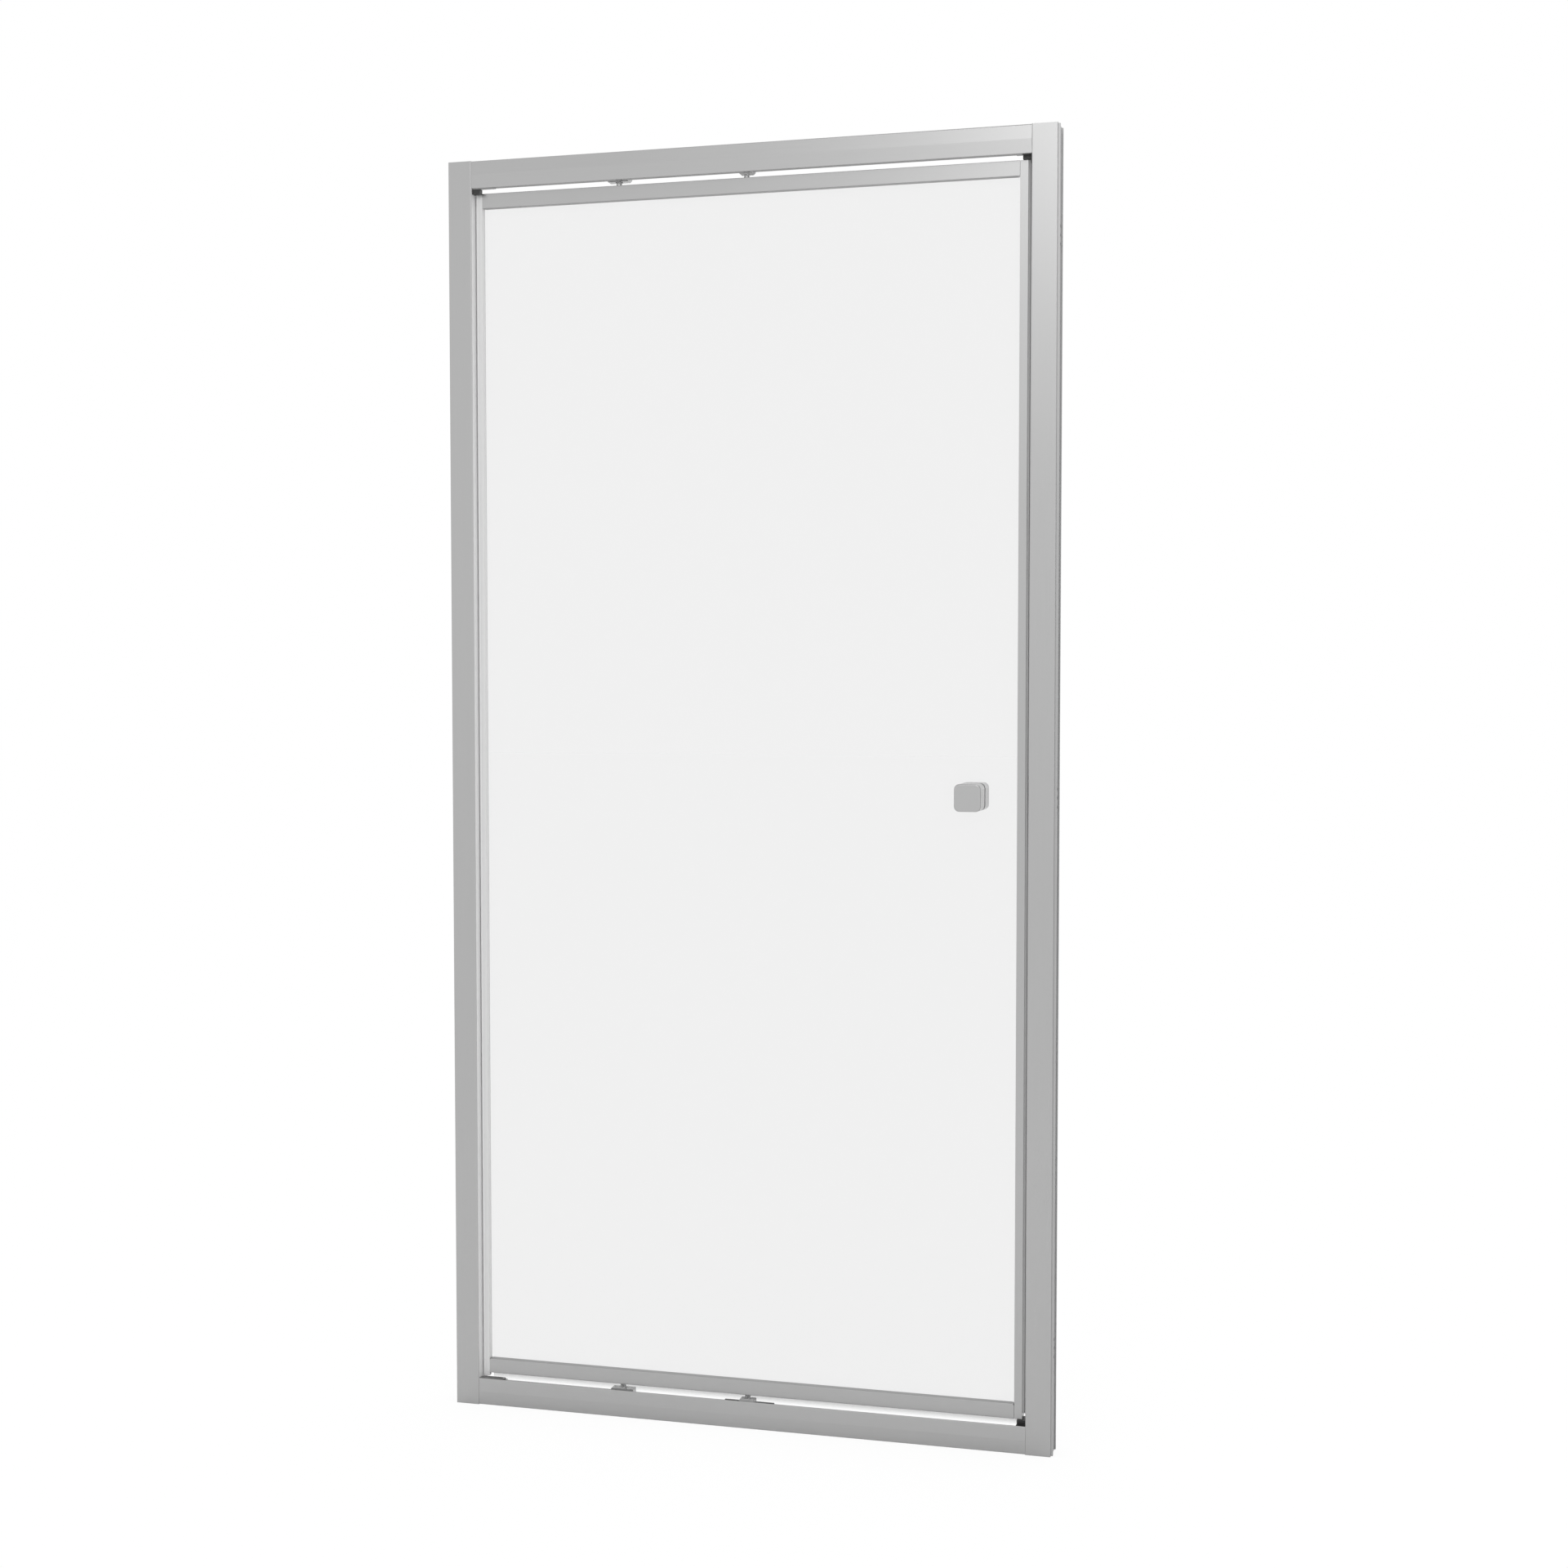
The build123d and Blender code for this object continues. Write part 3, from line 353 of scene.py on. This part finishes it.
uprightMetal = makeMetal("uprightMetal", uprightLook)
jambMetal = makeMetal("jambMetal", jambLook)
levelMetal = makeMetal("levelMetal", levelLook)
stileMetal = makeMetal("stileMetal", stileLook)
channelMetal = makeMetal("channelMetal", channelLook)
knobMetal = makeMetal("knobMetal", knobLook)
pinMetal = makeMetal("pinMetal", pinLook)
screwMetal = makeMetal("screwMetal", screwLook)
armMetal = makeMetal("armMetal", armLook)
greyPlastic = makePlastic("greyPlastic", greyPlasticLook)
whitePlastic = makePlastic("whitePlastic", whitePlasticLook)
sliderPlastic = makePlastic("sliderPlastic", sliderLook)
darkPlastic = makePlastic("darkPlastic", darkPlasticLook)
blackPlastic = makePlastic("blackPlastic", blackPlasticLook)
sealPlastic = makePlastic("sealPlastic", sealLook)
magnetBar = makePlastic("magnetBar", magnetLook)
gasketRubber = makePlastic("gasketRubber", gasketLook)
milkySeal = makePlastic("milkySeal", milkySealLook)
bladeSeal = makeBlade("bladeSeal", bladeLook)
clearGlass = makeGlass("clearGlass", glassLook)
print("materials made")

finishes = {
    "jamb_hinge": jambMetal, "jamb_lock": jambMetal, "wall_channel_hinge": channelMetal,
    "wall_channel_lock": channelMetal, "head_rail": levelMetal, "sill_rail": levelMetal,
    "frame_corner_screws": screwMetal, "jamb_fixing_screws": screwMetal,
    "screw_covers": greyPlastic, "pivot_bracket_bottom": darkPlastic,
    "pivot_bracket_top": darkPlastic, "bracket_screws": screwMetal, "arm_pivot_pins": pinMetal,
    "jamb_magnet_strip": sealPlastic, "jamb_magnet": magnetBar,
    "corner_block_lock_bottom": blackPlastic, "corner_block_lock_top": blackPlastic,
    "corner_block_hinge_top": blackPlastic, "corner_block_hinge_bottom": darkPlastic,
    "head_corner_plates": greyPlastic, "closing_keeper": darkPlastic,
    "arm_bottom": armMetal, "arm_top": armMetal,
    "arm_bushes": whitePlastic, "leaf_bottom_rail": levelMetal, "leaf_top_rail": levelMetal,
    "leaf_stile_hinge": stileMetal, "leaf_stile_lock": uprightMetal,
    "leaf_corner_keys": blackPlastic, "leaf_corner_screws": screwMetal, "pin_blocks": armMetal,
    "arm_pins": pinMetal, "slider_pins": pinMetal, "glass_pane": clearGlass,
    "glazing_gasket": gasketRubber, "wiper_seal": bladeSeal, "hinge_seal": milkySeal,
    "leaf_magnet_strip": sealPlastic, "leaf_magnet": magnetBar, "knob_outer": knobMetal,
    "knob_inner": knobMetal, "knob_washers": gasketRubber, "knob_stud": screwMetal,
    "knob_sleeve": whitePlastic, "slider_bottom": sliderPlastic, "slider_top": sliderPlastic,
}
for name, node in nodes.items():
    node.data.materials.clear()
    node.data.materials.append(finishes[name])
print("finishes assigned")

# Screws: thread, core and a domed head with a cross recess, one tree for every group
screwSizes = {
    "frame_corner_screws": {"shank": 0.002, "headHeight": 0.0024, "pitch": 0.0014},
    "jamb_fixing_screws": {"shank": 0.002, "headHeight": 0.0024, "pitch": 0.0014},
    "bracket_screws": {"shank": 0.002, "headHeight": 0.0024, "pitch": 0.0008},
    "leaf_corner_screws": {"shank": 0.00175, "headHeight": 0.0022, "pitch": 0.0013},
}
screwShape = {
    "coreShare": 0.8, "coreSides": 20, "turnSteps": 14, "ridgeSides": 4, "headSides": 28, "headRings": 6,
    "domeShare": 0.4, "domePower": 3.0, "driveWidth": 0.22, "driveLength": 1.25, "driveDepth": 0.6,
}
weldDistance = 1e-6


def makeScrewTree(shape):
    geo = Geo("screwTree", {
        "Shank Radius": "Float", "Head Radius": "Float", "Head Height": "Float", "Reach": "Float",
        "Pitch": "Float", "Metal": "Material",
    })
    shank, head = geo.input("Shank Radius"), geo.input("Head Radius")
    height, reach = geo.input("Head Height"), geo.input("Reach")
    values = {
        "Vertices": shape["coreSides"], "Radius": shank * shape["coreShare"], "Depth": reach,
    }
    core = geo.moved(geo.node("GeometryNodeMeshCylinder", {}, values), z=reach * -0.5)
    ridge = shank * ((1.0 - shape["coreShare"]) / 2)
    turn = shank - ridge
    values = {
        "Resolution": shape["turnSteps"], "Rotations": (reach - shank) / geo.input("Pitch"),
        "Start Radius": turn, "End Radius": turn, "Height": reach - shank,
    }
    helix = geo.node("GeometryNodeCurveSpiral", {}, values)
    values = {"Resolution": shape["ridgeSides"], "Radius": ridge}
    section = geo.node("GeometryNodeCurvePrimitiveCircle", {}, values)
    values = {"Curve": helix, "Profile Curve": section, "Fill Caps": True}
    thread = geo.moved(geo.node("GeometryNodeCurveToMesh", {}, values), z=reach * -1.0 + ridge)
    values = {
        "Vertices": shape["headSides"], "Side Segments": shape["headRings"], "Radius Top": head,
        "Radius Bottom": head, "Depth": height,
    }
    blank = geo.node("GeometryNodeMeshCone", {}, values)
    place = geo.node("ShaderNodeSeparateXYZ", {}, {0: geo.node("GeometryNodeInputPosition")})
    shrink = 1.0 - (place.other("Z") / height) ** shape["domePower"] * shape["domeShare"]
    domed = geo.vector(x=place * shrink, y=place.other("Y") * shrink, z=place.other("Z"))
    dome = geo.node("GeometryNodeSetPosition", {}, {"Geometry": blank, "Position": domed})
    wide, long = head * shape["driveWidth"], head * shape["driveLength"]
    deep = height * shape["driveDepth"] * 2.0
    bars = []
    for x, y in ((wide, long), (long, wide)):
        bar = geo.node("GeometryNodeMeshCube", {}, {"Size": geo.vector(x=x, y=y, z=deep)})
        bars.append(geo.moved(bar, z=height))
    cut = {"Mesh 1": dome, "Mesh 2": bars}
    driven = geo.node("GeometryNodeMeshBoolean", {"operation": "DIFFERENCE"}, cut)
    screw = geo.node("GeometryNodeJoinGeometry", {}, {"Geometry": [core, thread, driven]})
    kind = {"data_type": "FLOAT_VECTOR"}
    way = geo.node("GeometryNodeInputNamedAttribute", kind, {"Name": "outward"})
    turned = geo.node("FunctionNodeAlignRotationToVector", {"axis": "Z"}, {"Vector": way})
    values = {"Points": geo.input("Geometry"), "Instance": screw, "Rotation": turned}
    placed = geo.node("GeometryNodeInstanceOnPoints", {}, values)
    geo.finish(placed, geo.input("Metal"))
    return geo


def looseBoxes(node):
    # the boxes of a CAD node's separate solids
    copy = bmesh.new()
    copy.from_mesh(node.data)
    bmesh.ops.remove_doubles(copy, verts=copy.verts, dist=weldDistance)
    left = set(copy.verts)
    boxes = []
    while left:
        reached, edge = set(), [left.pop()]
        while edge:
            vert = edge.pop()
            reached.add(vert)
            for near in [e.other_vert(vert) for e in vert.link_edges]:
                if near in left:
                    left.discard(near)
                    edge.append(near)
        low = Vector([min(v.co[i] for v in reached) for i in range(3)])
        high = Vector([max(v.co[i] for v in reached) for i in range(3)])
        boxes.append((low, high))
    copy.free()
    return sorted(boxes, key=lambda box: tuple(box[0]))


def makeScrews(tree, name, size):
    # each screw points out of the door, away from the middle
    seats, ways = [], []
    for low, high in looseBoxes(nodes[name]):
        span, centre = high - low, (low + high) / 2
        axis = max(range(3), key=lambda i: span[i])
        sign = 1 if centre[axis] > 0 else -1
        way = Vector([sign if i == axis else 0 for i in range(3)])
        outer = high[axis] if sign > 0 else low[axis]
        seat = centre.copy()
        seat[axis] = outer - sign * size["headHeight"]
        seats.append(seat)
        ways.append(way)
    mesh = bpy.data.meshes.new(name + "Seats")
    mesh.from_pydata(seats, [], [])
    outward = mesh.attributes.new("outward", "FLOAT_VECTOR", "POINT")
    for item, way in zip(outward.data, ways):
        item.vector = way
    across = sorted(span)[1]
    piece = tree.run(name.replace("_", "-"), mesh, {
        "Shank Radius": size["shank"], "Head Radius": across / 2, "Head Height": size["headHeight"],
        "Reach": max(span) - size["headHeight"], "Pitch": size["pitch"], "Metal": screwMetal,
    })
    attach(piece, body_of(nodes[name])[0])
    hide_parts(name)
    return piece


screwTree = makeScrewTree(screwShape)
for name, size in screwSizes.items():
    made = makeScrews(screwTree, name, size)
    print(name, "made:", len(made.data.polygons), "faces")

# Wiper: a soft blade that hangs from the leaf's slot to just above the keeper
wiperLook = {
    "keeperGap": 0.0008, "rootHalf": 0.0007, "tipHalf": 0.0004, "lean": 0.0006, "rows": 14,
    "beadHalf": 0.00065, "beadHeight": 0.0016, "beadFrom": 0.15, "beadSpan": 0.7, "crush": 0.3,
}


def makeWiper(look):
    low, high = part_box("wiper_seal")
    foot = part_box("closing_keeper")[1][2] + look["keeperGap"]
    middle = (low[1] + high[1]) / 2
    front, rear = [], []
    for row in range(look["rows"] + 1):
        share = row / look["rows"]
        z = high[2] + (foot - high[2]) * share
        half = look["rootHalf"] + (look["tipHalf"] - look["rootHalf"]) * share
        above = z - foot
        if above < look["beadHeight"]:
            bend = look["beadFrom"] + look["beadSpan"] * above / look["beadHeight"]
            half = look["beadHalf"] * math.sin(math.pi * bend)
        y = middle - look["lean"] * share ** 2
        front.append((y - half, z))
        rear.append((y + half, z))
    outline = front + rear[::-1]
    count = len(outline)
    verts = [(x, y, z) for x in (low[0], high[0]) for y, z in outline]
    sides = [(i, (i + 1) % count, count + (i + 1) % count, count + i) for i in range(count)]
    ends = [tuple(range(count)), tuple(range(2 * count - 1, count - 1, -1))]
    mesh = bpy.data.meshes.new("wiperBlade")
    mesh.from_pydata(verts, [], sides + ends)
    shell = bmesh.new()
    shell.from_mesh(mesh)
    bmesh.ops.recalc_face_normals(shell, faces=shell.faces)
    shell.to_mesh(mesh)
    shell.free()
    mesh.materials.append(bladeSeal)
    piece = bpy.data.objects.new("wiperBlade", mesh)
    scene.collection.objects.link(piece)
    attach(piece, body_of(nodes["wiper_seal"])[0])
    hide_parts("wiper_seal")
    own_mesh(piece)


makeWiper(wiperLook)
print("wiper made")

# Studio: pale floor, white behind, one soft lamp high on the right
studio = {
    "floorSize": 60.0, "floorInGloss": 0.86, "glowShare": 0.9, "skyFall": 0.42, "skyLeast": 0.85,
    "lampPower": 17.0, "lampPlace": (0.75, -3.3, 3.3), "lampAim": (0.4, 0.0, 1.9),
    "lampSize": (1.9, 1.7),
}


def makeFloor(look):
    half = look["floorSize"] / 2
    mesh = bpy.data.meshes.new("studioFloor")
    corners = [(-half, -half, 0), (half, -half, 0), (half, half, 0), (-half, half, 0)]
    mesh.from_pydata(corners, [], [(0, 1, 2, 3)])
    floor = bpy.data.objects.new("studioFloor", mesh)
    scene.collection.objects.link(floor)
    mat = Mat("floorPaint")
    seen = mat.node("ShaderNodeLightPath", out="Is Camera Ray")
    shiny = seen.other("Is Glossy Ray")
    through = seen.other("Is Transmission Ray")
    colour = mat.mixColour(shiny, (1, 1, 1), (look["floorInGloss"],) * 3)
    paint = mat.node("ShaderNodeBsdfDiffuse", {}, {"Color": colour})
    glow = mat.node("ShaderNodeEmission", {}, {"Color": (1, 1, 1, 1), "Strength": 1.0})
    share = (seen + through) * look["glowShare"]
    both = mat.node("ShaderNodeMixShader", {}, {0: share, 1: paint, 2: glow})
    mat.node("ShaderNodeOutputMaterial", {}, {"Surface": both})
    mesh.materials.append(mat.data)


def makeWorld(look):
    # white to the eye and through glass; a little dimmer overhead in reflections
    world = bpy.data.worlds.new("studioWorld")
    scene.world = world
    mat = Mat("studioWorld", world)
    shiny = mat.node("ShaderNodeLightPath", out="Is Glossy Ray")
    way = mat.node("ShaderNodeTexCoord", out="Generated")
    up = mat.node("ShaderNodeSeparateXYZ", {}, {0: way}).other("Z")
    fall = mat.node("ShaderNodeMath", {"operation": "MAXIMUM"}, {0: up, 1: 0.0}) * look["skyFall"]
    most = 1.0 - look["skyLeast"]
    fall = mat.node("ShaderNodeMath", {"operation": "MINIMUM"}, {0: fall, 1: most})
    strength = 1.0 - fall * shiny
    sky = mat.node("ShaderNodeBackground", {}, {"Color": (1, 1, 1, 1), "Strength": strength})
    mat.node("ShaderNodeOutputWorld", {}, {"Surface": sky})


def makeLamp(look):
    data = bpy.data.lights.new("softbox", "AREA")
    data.shape = "RECTANGLE"
    data.size, data.size_y = look["lampSize"]
    data.energy = look["lampPower"]
    lamp = bpy.data.objects.new("softbox", data)
    scene.collection.objects.link(lamp)
    lamp.location = look["lampPlace"]
    aim = Vector(look["lampAim"]) - Vector(look["lampPlace"])
    lamp.rotation_euler = aim.to_track_quat("-Z", "Y").to_euler()


makeFloor(studio)
makeWorld(studio)
makeLamp(studio)
print("studio built")

# Camera as fitted to the frame's corners in the photograph
cameraLook = {
    "place": (0.92288, -3.19085, 1.14786), "down": 2.672, "left": 15.121, "lens": 50.0, "sensor": 36.0,
}
cameraData = bpy.data.cameras.new("photoCamera")
cameraData.lens = cameraLook["lens"]
cameraData.sensor_width = cameraLook["sensor"]
camera = bpy.data.objects.new("photoCamera", cameraData)
camera.location = cameraLook["place"]
tilt, turn = math.radians(90 - cameraLook["down"]), math.radians(cameraLook["left"])
camera.rotation_euler = (tilt, 0, turn)
scene.collection.objects.link(camera)
scene.camera = camera
scene.view_settings.view_transform = "Standard"

print("scene ready")
